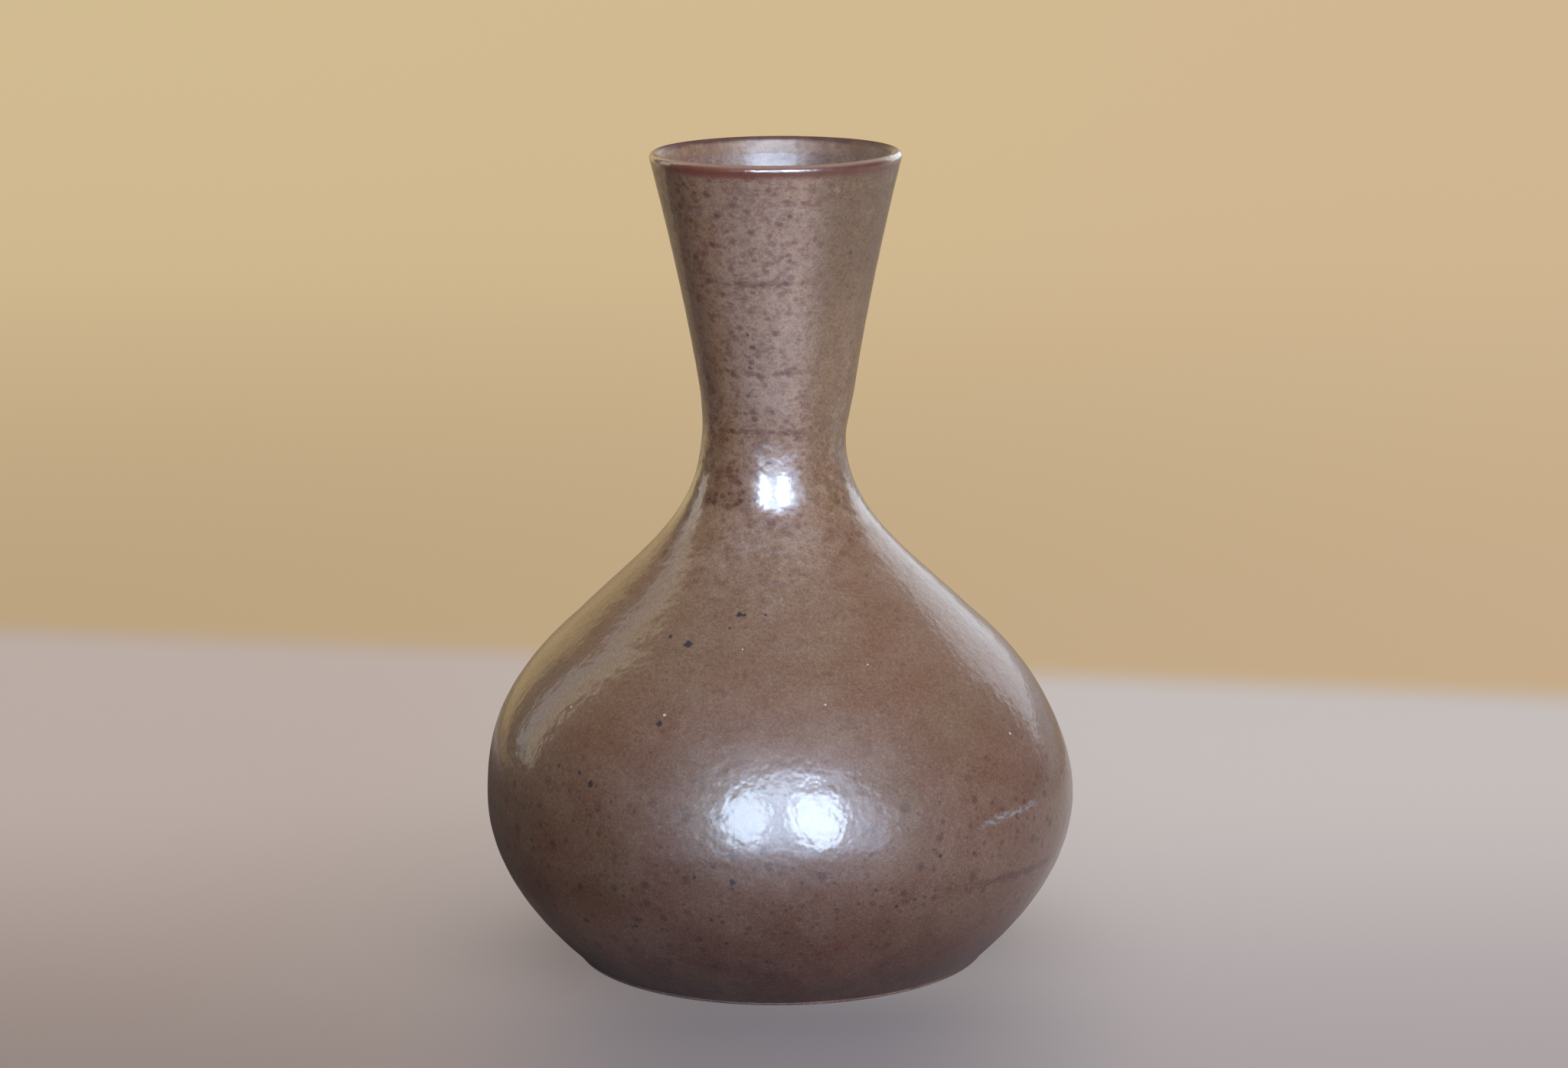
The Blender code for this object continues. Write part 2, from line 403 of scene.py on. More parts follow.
def round_end(at, way):
    """Distances and depths round the edge of a coat, from its skin to its back.

    Half circle: at + way * h cos a and h - h sin a, with h half the thickness and a from a quarter
    turn to its opposite.
    """
    a = np.linspace(math.pi / 2, -math.pi / 2, HALF_CIRCLE_ROWS)[1:-1]
    half = GLAZE / 2
    return at + way * half * np.cos(a), half - half * np.sin(a)


def square_end(at, way):
    """Distances and depths round a coat's square edge, from its skin to its back.

    Two quarter circles of the corner's radius: at + way * (r sin a - r) and r - r cos a, then
    at + way * (r cos a - r) and thickness - r + r sin a, with a from 0 to a quarter turn.
    """
    a = np.linspace(0, math.pi / 2, CORNER_ROWS)
    out, turn = LAP_CORNER * (np.sin(a) - 1), LAP_CORNER * (1 - np.cos(a))
    return (
        at + way * np.concatenate([out, -turn]),
        np.concatenate([turn, GLAZE + out]),
    )


def outer_glaze_coat(finish):
    """The glaze outside, over the lip and into the mouth, with a rounded lower edge."""
    face = PATH.stops(GLAZE_EDGE, LAP - LAP_EDGE, GLAZE_ROWS)
    around_lines = np.add.outer(LINES, LINE_WIDTH * LINE_STEPS).ravel()
    face = np.sort(np.concatenate([face, around_lines]))
    back = PATH.stops(GLAZE_EDGE, LAP - LAP_EDGE, GLAZE_BACK_ROWS)[::-1]
    top, top_depth = square_end(LAP, 1)
    foot, foot_depth = round_end(GLAZE_EDGE, -1)
    along = np.concatenate([face, top, back, foot[::-1]])
    depth = np.concatenate([0 * face, top_depth, GLAZE + 0 * back, foot_depth[::-1]])
    grid = turned_grid(along, depth, near_edge(along))
    skin("glaze_outside", grid, True, finish, "outer_glaze")


def liner_glaze_coat(finish):
    """The glaze poured inside, from the end of the lap to the middle of the floor."""
    start = LAP + LAP_GAP
    face = PATH.stops(start + LAP_EDGE, TO_FLOOR, LINER_ROWS)
    back = PATH.stops(start + LAP_EDGE, TO_FLOOR, LINER_BACK_ROWS)[::-1]
    end, end_depth = square_end(start, -1)
    along = np.concatenate([back, end[::-1], face])
    depth = np.concatenate([GLAZE + 0 * back, end_depth[::-1], 0 * face])
    grid = turned_grid(along, depth, 0 * along)
    skin("glaze_inside", grid, False, finish, "liner_glaze")


def underside():
    """Radii and heights of the foot from its middle out to the edge of the glaze.

    The recess with turning marks, depth * (1 + cos(turn * radius / pitch)) / 2, then its slope,
    the foot ring and the ring's rounded edge.
    """
    ring_inner = FOOT_RADIUS - FOOT_RING_WIDTH
    slope_inner = ring_inner - RECESS_SLOPE_WIDTH
    flat = np.linspace(0, slope_inner - SLOPE_MARGIN, RECESS_ROWS)
    marks = 0.5 + 0.5 * np.cos(math.tau * flat / TURNING_PITCH)
    turning = TURNING_DEPTH * marks * smooth(flat, *TURNING_BEGINS)
    t = np.linspace(0, 1, SLOPE_ROWS)
    slope = slope_inner - SLOPE_MARGIN + t * (RECESS_SLOPE_WIDTH + 2 * SLOPE_MARGIN)
    fall = FOOT_RECESS * (1 - smooth(slope, slope_inner - SLOPE_EASE, ring_inner + SLOPE_EASE))
    ring = np.linspace(ring_inner + RING_MARGIN, FOOT_RADIUS - FOOT_EDGE, RING_ROWS)
    a = np.radians(np.linspace(FOOT_EDGE_BEGINS, 0, FOOT_EDGE_ROWS))
    edge_r = FOOT_RADIUS - FOOT_EDGE + FOOT_EDGE * np.cos(a)
    edge_z = FOOT_EDGE + FOOT_EDGE * np.sin(a)
    radius = np.concatenate([flat, slope[1:], ring, edge_r])
    height = np.concatenate([FOOT_RECESS + turning, fall[1:], 0 * ring, edge_z])
    return radius, height


def clay_globe(finish):
    """The clay body: its underside, its outside up to the seam, and its inside to the floor."""
    seam = PATH.where(WAIST_HEIGHT - SEAM_HALF, TO_WAIST / 2, TO_WAIST)
    seam_in = PATH.where(WAIST_HEIGHT - SEAM_HALF, DOWN_TO_WAIST, DOWN_TO_SHOULDER)
    outside = PATH.stops(GLAZE_EDGE, seam, GLOBE_ROWS)
    inside = PATH.stops(seam_in, TO_FLOOR, GLOBE_ROWS)
    along = np.concatenate([outside, inside])
    walls = turned_grid(along, 0 * along + COAT, near_edge(along))
    grid = np.concatenate([ring_grid(*underside()), walls])
    skin("clay_globe", grid, False, finish, "thrown_globe")


def clay_neck(finish):
    """The clay neck, closed round from the seam over the lip and back down inside."""
    seam = PATH.where(WAIST_HEIGHT + SEAM_HALF, TO_WAIST, TO_RIM)
    seam_in = PATH.where(WAIST_HEIGHT + SEAM_HALF, TO_MOUTH, DOWN_TO_WAIST)
    along = PATH.stops(seam, seam_in, NECK_ROWS)
    grid = turned_grid(along, 0 * along + COAT, 0 * along)
    skin("clay_neck", grid, True, finish, "luted_neck")


def slip_ring(finish):
    """The slip in the seam: a flat ring whose rims bulge a little where it was squeezed."""
    inner = WAIST_RADIUS - NECK_CLAY - COAT
    outer = WAIST_RADIUS - COAT
    a = np.radians(np.linspace(-90, 90, HALF_CIRCLE_ROWS))
    bulge = SLIP_BULGE * np.cos(a)
    height = WAIST_HEIGHT + SLIP / 2 * np.sin(a)
    radius = np.concatenate([outer - SLIP_BULGE + bulge, inner + SLIP_BULGE - bulge])
    grid = ring_grid(radius, np.concatenate([height, height[::-1]]))
    skin("slip_ring", grid, True, finish, "luting_slip")


# Shader helpers

# The range that most of a Noise texture keeps to
USUAL = (0.3, 0.7)


def colour(r, g, b):
    """Linear colour from the 0 to 255 numbers of a screen."""
    c = np.array([r, g, b]) / 255
    return (*np.where(c <= 0.04045, c / 12.92, ((c + 0.055) / 1.055) ** 2.4), 1)


def feed(tree, target, inputs):
    """Sets a node's inputs to values, or links them to other nodes' outputs."""
    for key, value in inputs.items():
        if isinstance(value, bpy.types.NodeSocket):
            tree.links.new(value, target.inputs[key])
        else:
            target.inputs[key].default_value = value


def node(tree, kind, inputs, **settings):
    """A shader node of a kind, such as Math, with its settings and inputs."""
    made = tree.nodes.new("ShaderNode" + kind)
    for name, value in settings.items():
        setattr(made, name, value)
    feed(tree, made, inputs)
    return made


def maths(tree, operation, *values, clamp=False):
    """The output of a Math node."""
    inputs = dict(enumerate(values))
    return node(tree, "Math", inputs, operation=operation, use_clamp=clamp).outputs[0]


def times(tree, first, *others):
    """The product of several values."""
    for other in others:
        first = maths(tree, "MULTIPLY", first, other)
    return first


def any_of(tree, first, *others):
    """The strongest of several masks."""
    for other in others:
        first = maths(tree, "MAXIMUM", first, other)
    return first


def scaled(tree, value, factor, plus, clamp=False):
    """value * factor + plus."""
    return maths(tree, "MULTIPLY_ADD", value, factor, plus, clamp=clamp)


def rest_of(tree, mask):
    """1 - mask."""
    return maths(tree, "SUBTRACT", 1.0, mask)


def span(tree, value, low, high, to_low=0.0, to_high=1.0):
    """A value carried smoothly from one range to another and held at its ends."""
    inputs = {
        "Value": value, "From Min": low, "From Max": high, "To Min": to_low, "To Max": to_high}
    return node(tree, "MapRange", inputs, interpolation_type="SMOOTHSTEP").outputs[0]


def mix(tree, share, first, second, blend="MIX"):
    """The colour of a Mix node, whose colour sockets are numbers 6, 7 and 2."""
    inputs = {0: share, 6: first, 7: second}
    return node(tree, "Mix", inputs, data_type="RGBA", blend_type=blend).outputs[2]


def layer(tree, base, tone, mask, share=1.0):
    """A colour covered by a tone, by this share where the mask is 1."""
    return mix(tree, times(tree, mask, share), base, tone)


def layered(tree, base, *layers):
    """A colour under layers, each a tone, its mask and its share."""
    for tone, mask, share in layers:
        base = layer(tree, base, tone, mask, share)
    return base


def tinted(tree, base, tint):
    """A colour seen through a tint."""
    return mix(tree, 1.0, base, tint, "MULTIPLY")


def noise(tree, place, scale, detail=2.0, rough=0.5):
    """The value of a Noise texture."""
    inputs = {"Vector": place, "Scale": scale, "Detail": detail, "Roughness": rough}
    return node(tree, "TexNoise", inputs).outputs["Fac"]


def cells(tree, place, scale):
    """Distances from the middles of random cells, and three random numbers for each cell."""
    made = node(tree, "TexVoronoi", {"Vector": place, "Scale": scale}).outputs
    return made["Distance"], node(
        tree, "SeparateColor", {"Color": made["Color"]}).outputs


def object_place(tree, stretch=(1, 1, 1)):
    """Object coordinates, squeezed along each axis by these factors."""
    here = node(tree, "TexCoord", {}).outputs["Object"]
    return node(tree, "Mapping", {"Vector": here, "Scale": stretch}).outputs[0]


def axes(tree):
    """X, Y and Z of the Object coordinates."""
    return node(tree, "SeparateXYZ", {"Vector": object_place(tree)}).outputs


def bumps(tree, height, strength, distance):
    """The normal of a surface with this height over it."""
    inputs = {"Strength": strength, "Distance": distance, "Height": height}
    return node(tree, "Bump", inputs).outputs[0]


def tone_by_height(tree, height, tones):
    """Colours at heights, with soft changes between them."""
    ramp = node(tree, "ValToRGB", {"Fac": maths(tree, "DIVIDE", height, HEIGHT)})
    while len(ramp.color_ramp.elements) < len(tones):
        ramp.color_ramp.elements.new(0.5)
    for element, (at, tone) in zip(ramp.color_ramp.elements, tones):
        element.position = at / HEIGHT
        element.color = colour(*tone)
    return ramp.outputs["Color"]


def group(name, inputs, outputs):
    """A new node group with float inputs and outputs, and its two end nodes."""
    tree = bpy.data.node_groups.new(name, "ShaderNodeTree")
    for key, value in inputs.items():
        socket = tree.interface.new_socket(key, in_out="INPUT", socket_type="NodeSocketFloat")
        socket.default_value = value
    for key in outputs:
        tree.interface.new_socket(key, in_out="OUTPUT", socket_type="NodeSocketFloat")
    return tree, tree.nodes.new("NodeGroupInput").outputs, tree.nodes.new("NodeGroupOutput")


def use(tree, effect, values):
    """The outputs of a group placed in a material with its own values."""
    return node(tree, "Group", values, node_tree=effect).outputs


def finish_of(name):
    """An empty material, its tree, and its Principled BSDF."""
    made = bpy.data.materials.new(name)
    made.use_nodes = True
    return made, made.node_tree, made.node_tree.nodes["Principled BSDF"]


# Effects that more than one finish uses

def ragged_flecks(tree, place, per_metre):
    """Flecks one to a cell, of uneven size and strength and with ragged edges, and smears."""
    shift = node(tree, "TexNoise", {"Vector": place, "Scale": 800.0, "Detail": 1.0})
    inputs = {0: shift.outputs["Color"], 1: (0.0007,) * 3, 2: place}
    pushed = node(tree, "VectorMath", inputs, operation="MULTIPLY_ADD").outputs[0]
    distance, picks = cells(tree, pushed, per_metre)
    size = scaled(tree, picks[1], 0.30, 0.36)
    dots = span(tree, maths(tree, "DIVIDE", distance, size), 1.25, 0.35)
    dots = times(tree, dots, scaled(tree, picks[2], 0.7, 0.3))
    smears = span(tree, noise(tree, place, scale=430.0), 0.52, 0.66, 0.0, 0.60)
    return any_of(tree, dots, smears)


def skin_ripple(tree, place):
    """The height of a glaze's skin: coarse, middling and fine noise."""
    coarse, middling, fine = (
        noise(tree, place, scale, detail=1.0) for scale in (230.0, 480.0, 1300.0))
    return scaled(tree, fine, 0.1, scaled(tree, middling, 0.85, coarse))


def mottle_effect():
    """Clouds, patches, dark flecks and grain in a speckled glaze, and the ripple of its skin."""
    outputs = ["Cloud", "Patch", "Fleck", "Fine", "Hue", "Grain", "Ripple"]
    tree, start, end = group("glaze mottle", {"Flecks": 430.0}, outputs)
    flat, here = object_place(tree, (1, 1, 1.3)), object_place(tree)
    feed(tree, end, {
        "Cloud": noise(tree, flat, scale=95.0, detail=3.0, rough=0.55),
        "Patch": span(tree, noise(tree, flat, scale=210.0), 0.38, 0.62),
        "Fleck": ragged_flecks(tree, flat, start["Flecks"]),
        "Fine": span(tree, noise(tree, flat, scale=1150.0), 0.50, 0.64),
        "Hue": noise(tree, flat, scale=42.0),
        "Grain": noise(tree, here, scale=1900.0, detail=4.0, rough=0.7),
        "Ripple": skin_ripple(tree, here),
    })
    return tree


def speck_effect():
    """Specks scattered one to a cell, of sizes that differ from cell to cell."""
    inputs = {"Cells": 100.0, "Largest": 0.2, "Share": 0.3}
    tree, start, end = group("scattered specks", inputs, ["Speck"])
    distance, picks = cells(tree, object_place(tree), start["Cells"])
    kept = maths(tree, "LESS_THAN", picks[0], start["Share"])
    radius = times(tree, start["Largest"], scaled(tree, picks[1], 0.7, 0.3))
    inside = span(tree, maths(tree, "DIVIDE", distance, radius), 1.1, 0.4)
    feed(tree, end, {"Speck": times(tree, inside, kept)})
    return tree


def placed_effect():
    """One speck at a place, with an uneven edge."""
    inputs = {"X": 0.0, "Y": 0.0, "Z": 0.0, "Radius": 0.001}
    tree, start, end = group("placed speck", inputs, ["Speck"])
    here = object_place(tree)
    centre = node(tree, "CombineXYZ", {key: start[key] for key in "XYZ"}).outputs[0]
    away = node(tree, "VectorMath", {0: here, 1: centre}, operation="DISTANCE")
    away = maths(tree, "DIVIDE", away.outputs["Value"], start["Radius"])
    uneven = span(tree, noise(tree, here, scale=1400.0), *USUAL, -0.2, 0.2)
    feed(tree, end, {"Speck": span(tree, maths(tree, "ADD", away, uneven), 1.2, 0.7)})
    return tree


def band_effect():
    """A band round the axis at a height, from one direction to another in degrees.

    0 degrees is the camera's side, and they grow towards +X.
    """
    inputs = {
        "Height": 0.1, "Half width": 0.001, "Slope": 0.0, "From": -60.0, "To": 60.0, "Fade": 8.0}
    tree, start, end = group("turned band", inputs, ["Band"])
    x, y, z = axes(tree)
    turn = maths(tree, "DEGREES", maths(tree, "ARCTAN2", x, times(tree, y, -1.0)))
    past = maths(tree, "SUBTRACT", turn, start["From"])
    left = maths(tree, "SUBTRACT", start["To"], turn)
    rise = scaled(tree, past, start["Slope"], start["Height"])
    away = maths(tree, "ABSOLUTE", maths(tree, "SUBTRACT", z, rise))
    away = maths(tree, "DIVIDE", away, start["Half width"])
    grain = noise(tree, object_place(tree), scale=420.0, detail=3.0)
    away = maths(tree, "ADD", away, span(tree, grain, *USUAL, -0.4, 0.4))
    ends = maths(tree, "DIVIDE", maths(tree, "MINIMUM", past, left), start["Fade"])
    feed(tree, end, {
        "Band": times(tree, span(tree, away, 1.2, 0.4), span(tree, ends, -1.0, 1.0))})
    return tree


def clay_effect():
    """Grog and pores of a coarse clay: a shade near 1 and a height."""
    tree, start, end = group("stoneware grain", {"Coarseness": 1.0}, ["Shade", "Height"])
    here = object_place(tree)
    grain = noise(tree, here, scale=1400.0, detail=4.0, rough=0.65)
    patch = noise(tree, here, scale=90.0, detail=3.0)
    shade = maths(
        tree, "ADD", span(tree, grain, *USUAL, 0.86, 1.08), span(tree, patch, *USUAL, -0.08, 0.08))
    feed(tree, end, {"Shade": shade, "Height": times(tree, grain, start["Coarseness"])})
    return tree


# What both glazes share

GLASS_IOR = 1.5
MOTTLE = {"Flecks": 430.0}
SCATTERED_IRON = {"Cells": 120.0, "Largest": 0.085, "Share": 0.20}
SCATTERED_PINS = {"Cells": 150.0, "Largest": 0.040, "Share": 0.25}

GRAIN_DARK, GRAIN_PALE = colour(50, 32, 28), colour(196, 176, 160)
IRON_GREY, PIN_PALE = colour(46, 34, 36), colour(215, 208, 204)
FINE_BROWN = colour(88, 58, 50)


def iron_and_grain(tree, base, spot, specks):
    """The grain, the scattered specks of iron and the bright pinholes of a glaze."""
    return layered(
        tree, base,
        (GRAIN_DARK, span(tree, spot["Grain"], 0.58, 0.36), 0.22),
        (GRAIN_PALE, span(tree, spot["Grain"], 0.48, 0.70), 0.16),
        (IRON_GREY, use(tree, specks, SCATTERED_IRON)["Speck"], 0.7),
        (PIN_PALE, use(tree, specks, SCATTERED_PINS)["Speck"], 0.5),
    )


def glaze_surface(tree, shader, base, spot, rough, coat, softness):
    """A glaze's colour, its soft lower gloss, its clear coat and the ripple of its skin."""
    skin_normal = bumps(tree, spot["Ripple"], strength=1.0, distance=0.00011)
    feed(tree, shader, {
        "Base Color": base,
        "Roughness": rough,
        "Normal": skin_normal,
        "IOR": GLASS_IOR,
        "Specular IOR Level": 0.5,
        "Coat Weight": coat,
        "Coat Roughness": softness,
        "Coat IOR": GLASS_IOR,
        "Coat Normal": skin_normal,
    })


def lower_gloss(tree, spot):
    """How rough a glaze is under its clear coat."""
    return span(tree, spot["Cloud"], *USUAL, 0.40, 0.48)


# The outer glaze

# Its tones by height
OUTER_TONES = (
    (0.000, (82, 46, 38)),
    (0.008, (88, 52, 42)),
    (0.020, (105, 70, 57)),
    (0.035, (116, 84, 71)),
    (0.055, (122, 91, 75)),
    (0.080, (130, 100, 80)),
    (0.100, (138, 108, 86)),
    (0.125, (170, 137, 116)),
    (0.150, (182, 147, 125)),
    (0.190, (180, 146, 125)),
)

# Its sides and marks, as bands, among them painted sheen and shade: degrees from the camera's side,
# and the slope in metres a degree
SMOOTH_SIDE = {"Height": 0.168, "Half width": 0.060, "From": 20.0, "To": 140.0, "Fade": 12.0}
# Painted sheen: the middle of the neck, on the side facing the lamps, made paler
MIDDLE_SHEEN_BAND = {"Height": 0.155, "Half width": 0.050, "From": -34.0, "To": 22.0, "Fade": 16.0}
# Painted shade: the left side, away from the lamps, darker and warmer
LEFT_SHADE_BAND = {"Height": 0.172, "Half width": 0.050, "From": -160.0, "To": -50.0, "Fade": 16.0}
LEFT_WARM_SHADE_BAND = {"Height": 0.080, "Half width": 0.200, "From": -160.0, "To": -34.0, "Fade": 14.0}
LINE = {"Half width": 0.0008, "From": -66.0, "To": 20.0}
STAIN = {"Height": 0.1170, "Half width": 0.0022, "From": -58.0, "To": -20.0}
STREAK = {"Height": 0.0309, "Half width": 0.0012, "From": 40.0, "To": 68.0, "Slope": -0.00005}
SCUFF = {
    "Height": 0.0457, "Half width": 0.0011, "From": 42.0, "To": 58.0, "Slope": 0.00006,
    "Fade": 3.0}

# Dark dots low on the globe
LARGE_DOTS = {"Cells": 250.0, "Largest": 0.42, "Share": 0.50}
SMALL_DOTS = {"Cells": 480.0, "Largest": 0.44, "Share": 0.60}

# Specks of iron and bright pinholes: degrees from the camera's side, height and radius in mm
IRON = (
    (-26.1, 87.1, 1.05), (-33.0, 88.1, 0.60), (-12.0, 93.6, 0.75), (-10.2, 93.5, 0.50),
    (-2.9, 93.6, 0.35), (-14.4, 90.8, 0.40), (-26.1, 71.2, 0.72), (-39.0, 56.3, 0.85),
    (-42.3, 58.2, 0.55), (-48.4, 58.5, 0.45), (-43.4, 21.3, 0.92), (-30.0, 22.8, 0.60),
    (-8.9, 37.3, 0.75), (31.1, 40.5, 0.60), (39.0, 39.5, 0.45), (22.5, 29.2, 0.50),
    (26.1, 30.4, 0.40), (-16.1, 37.9, 0.45), (-11.0, 20.6, 0.45), (18.0, 34.1, 0.40),
    (0.9, 30.2, 0.35), (-13.4, 27.0, 0.45), (-23.3, 15.9, 0.40), (6.1, 20.0, 0.40),
)
PINHOLES = (
    (-51.9, 71.0, 0.32), (-25.4, 73.0, 0.38), (-9.2, 86.8, 0.24), (11.9, 75.8, 0.28),
    (57.4, 63.0, 0.36), (25.7, 82.8, 0.20), (8.1, 60.0, 0.26),
)
MM_IN_METRE = 1000

# Its other colours
MILKY, RUST, OLIVE = colour(160, 140, 126), colour(126, 78, 62), colour(116, 104, 76)
SMOOTH_BROWN, HIGH_BROWN = colour(138, 113, 87), colour(112, 88, 66)
# The first is a painted sheen down the neck's middle; the second, cream patches in the glaze
SHEEN_PALE, CREAM = colour(192, 174, 176), colour(188, 168, 156)
FLECK_RED, DOT_DARK = colour(98, 48, 40), colour(60, 32, 30)
# Painted shade for the left side: a dark brown, and a warm tint
SHADE_BROWN, SHADE_WARMTH = colour(92, 58, 44), colour(255, 246, 226)
LINE_RED, MARK_DARK, SCUFF_GREY = colour(104, 60, 54), colour(78, 42, 38), colour(158, 166, 182)
IRON_BLACK, PINHOLE_WHITE = colour(46, 38, 44), colour(226, 224, 226)
# The lip lighter on the left and darker on the right: painted light and shade
LIP_LEFT_LIT, LIP_RIGHT_SHADED = colour(136, 80, 68), colour(108, 67, 60)
# Painted reflection, pale, on the near crest and the lip's ends; painted shade, dark, on the far
# crest
NEAR_CREST_REFLECTION, FAR_CREST_SHADE = colour(170, 148, 134), colour(84, 50, 48)
LIP_ENDS_REFLECTION, LAP_PALE = colour(204, 188, 156), colour(190, 162, 146)

# Where its zones begin and are full: heights, then places from side to side and to the back
NECK_ZONE = (0.092, 0.117)
HIGH_ZONE = (0.155, 0.180)
DOTS_BELOW, DOTS_ABOVE = (0.074, 0.046), (0.001, 0.006)
WAIST_ABOVE, WAIST_BELOW = (0.106, 0.114), (0.142, 0.130)
LIP_ZONE = (0.1966, 0.1986)
LIP_OUTSIDE, LAP_INSIDE = -np.array([1.08, 0.86]) * LIP_ROUND, -np.array([0.9, 1.5]) * LIP_ROUND
CREST_ZONE = (0.1990, 0.1997)
FAR_CREST_ZONE = (0.1991, 0.2004)
ENDS_ABOVE, ENDS_BESIDE = (0.1972, 0.1985), (0.0240, 0.0290)
LIP_ACROSS = (-0.020, 0.020)
FAR_SIDE = (-0.004, 0.012)

# How far its tones drift up and down with its clouds, on the body and at the rim
BODY_DRIFT = 0.003
RIM_DRIFT = 0.0016

# Shares of clear coat, and the roughness of it
GLOBE_COAT, NECK_COAT, LAP_COAT = 0.70, 0.85, 0.04
OUTER_SOFTNESS = 0.14


def banded(tree, band, place):
    """The mask of a band."""
    return use(tree, band, place)["Band"]


def placed(tree, one_speck, places):
    """A mask of specks on the glaze outside, at these turns, heights and radii."""
    spots = []
    for turn, height, size in places:
        radius, height = PATH.place(PATH.where(height / MM_IN_METRE, 0, TO_RIM), 0)
        centre = turned(radius, height, math.radians(turn - 90)).tolist()
        values = {**dict(zip("XYZ", centre)), "Radius": size / MM_IN_METRE}
        spots.append(use(tree, one_speck, values)["Speck"])
    return any_of(tree, *spots)


def body_tones(tree, height, spot):
    """Brown that pales upwards, with milky clouds and drifts of rust and olive."""
    return layered(
        tree, tone_by_height(tree, height, OUTER_TONES),
        (MILKY, span(tree, spot["Cloud"], 0.40, 0.65), 0.10),
        (RUST, span(tree, spot["Hue"], 0.50, 0.68), 0.22),
        (OLIVE, span(tree, spot["Hue"], 0.48, 0.32), 0.20),
    )


def neck_tones(tree, base, z, band, smooth_side):
    """The neck's smooth right side, browner near the lip, and a painted sheen down its middle."""
    return layered(
        tree, base,
        (SMOOTH_BROWN, smooth_side, 0.85),
        (HIGH_BROWN, times(tree, smooth_side, span(tree, z, *HIGH_ZONE)), 0.55),
        # Painted sheen: the neck's middle, facing the lamps, made paler
        (SHEEN_PALE, banded(tree, band, MIDDLE_SHEEN_BAND), 0.30),
    )


def flecks(tree, base, speckled, spot):
    """Cream patches on the neck, red flecks, denser there, and fine brown ones."""
    cream = times(tree, speckled, rest_of(tree, spot["Patch"]))
    amount = scaled(tree, speckled, 0.50, 0.34)
    amount = times(tree, amount, scaled(tree, spot["Patch"], 0.55, 0.45))
    return layered(
        tree, base,
        (CREAM, cream, 0.26), (FLECK_RED, spot["Fleck"], amount), (FINE_BROWN, spot["Fine"], 0.26))


def low_dots(tree, base, z, specks):
    """Dark dots of two sizes low on the globe."""
    low = times(tree, span(tree, z, *DOTS_BELOW), span(tree, z, *DOTS_ABOVE))
    large = times(tree, use(tree, specks, LARGE_DOTS)["Speck"], 0.60)
    small = times(tree, use(tree, specks, SMALL_DOTS)["Speck"], 0.52)
    return layer(tree, base, DOT_DARK, times(tree, low, any_of(tree, large, small)))


def painted_left_shade(tree, base, band):
    """Painted shade on the left side, away from the lamps: a darker neck, and a warm tint over the
    whole side.
    """
    base = layer(tree, base, SHADE_BROWN, banded(tree, band, LEFT_SHADE_BAND), share=0.55)
    warm = tinted(tree, base, SHADE_WARMTH)
    return layer(tree, base, warm, banded(tree, band, LEFT_WARM_SHADE_BAND), share=0.9)


def marks(tree, base, spot, band):
    """The lines round the neck, a stain on the shoulder, and a streak and a scuff low down."""
    lines = any_of(tree, *(banded(tree, band, {**LINE, "Height": z}) for z in LINE_HEIGHTS))
    lines = times(tree, lines, span(tree, spot["Patch"], 0.2, 0.9, 0.10, 0.50))
    base = layer(tree, base, LINE_RED, lines)
    broken = span(tree, spot["Fleck"], 0.0, 0.5, 0.35, 1.0)
    stain = times(tree, banded(tree, band, STAIN), broken, 0.55)
    streak = times(tree, banded(tree, band, STREAK), 0.80)
    base = layer(tree, base, MARK_DARK, any_of(tree, stain, streak))
    worn = noise(tree, object_place(tree, (1, 1, 2.5)), scale=600.0)
    worn = span(tree, worn, 0.42, 0.60, 0.08, 0.66)
    return layer(tree, base, SCUFF_GREY, times(tree, banded(tree, band, SCUFF), worn))


def rim_masks(tree, x, y, z, spot):
    """Where the lip, the near and far crest, the lip's two ends and the lap inside it are.

    The lap is inside a cone along the flare: its radius - height * tan(lean) is below the rim's.
    """
    radius = maths(tree, "ADD", times(tree, x, x), times(tree, y, y))
    radius = maths(tree, "SQRT", radius)
    uneven = scaled(tree, spot["Cloud"], RIM_DRIFT, z)
    outside = span(tree, radius, *(RIM_RADIUS + LIP_OUTSIDE).tolist())
    beside = span(tree, maths(tree, "ABSOLUTE", x), *ENDS_BESIDE)
    far = span(tree, y, *FAR_SIDE)
    flare = math.tan(math.radians(RIM_LEAN))
    cone = RIM_RADIUS - HEIGHT * flare
    inward = scaled(tree, z, -flare, radius)
    return {
        "lip": times(tree, span(tree, uneven, *LIP_ZONE), outside),
        "near crest": times(tree, span(tree, z, *CREST_ZONE), rest_of(tree, far)),
        "ends": times(tree, span(tree, z, *ENDS_ABOVE), beside),
        "far crest": times(tree, span(tree, uneven, *FAR_CREST_ZONE), far),
        "lap": span(tree, inward, *(cone + LAP_INSIDE).tolist()),
    }


def rim_tones(tree, base, x, rim):
    """Red-brown on the lip, lighter on its left as painted light and darker on its right as painted
    shade, a pale painted reflection on its near crest and its ends, and dark painted shade on its
    far crest.
    """
    # Painted light on the left of the lip and painted shade on its right
    lip_tone = mix(tree, span(tree, x, *LIP_ACROSS), LIP_LEFT_LIT, LIP_RIGHT_SHADED)
    return layered(
        tree, base,
        (lip_tone, rim["lip"], 0.9),
        (NEAR_CREST_REFLECTION, rim["near crest"], 0.6),
        (LIP_ENDS_REFLECTION, rim["ends"], 0.35),
        (FAR_CREST_SHADE, rim["far crest"], 0.85),
        (LAP_PALE, times(tree, rim["lap"], rest_of(tree, rim["far crest"])), 0.3),
    )


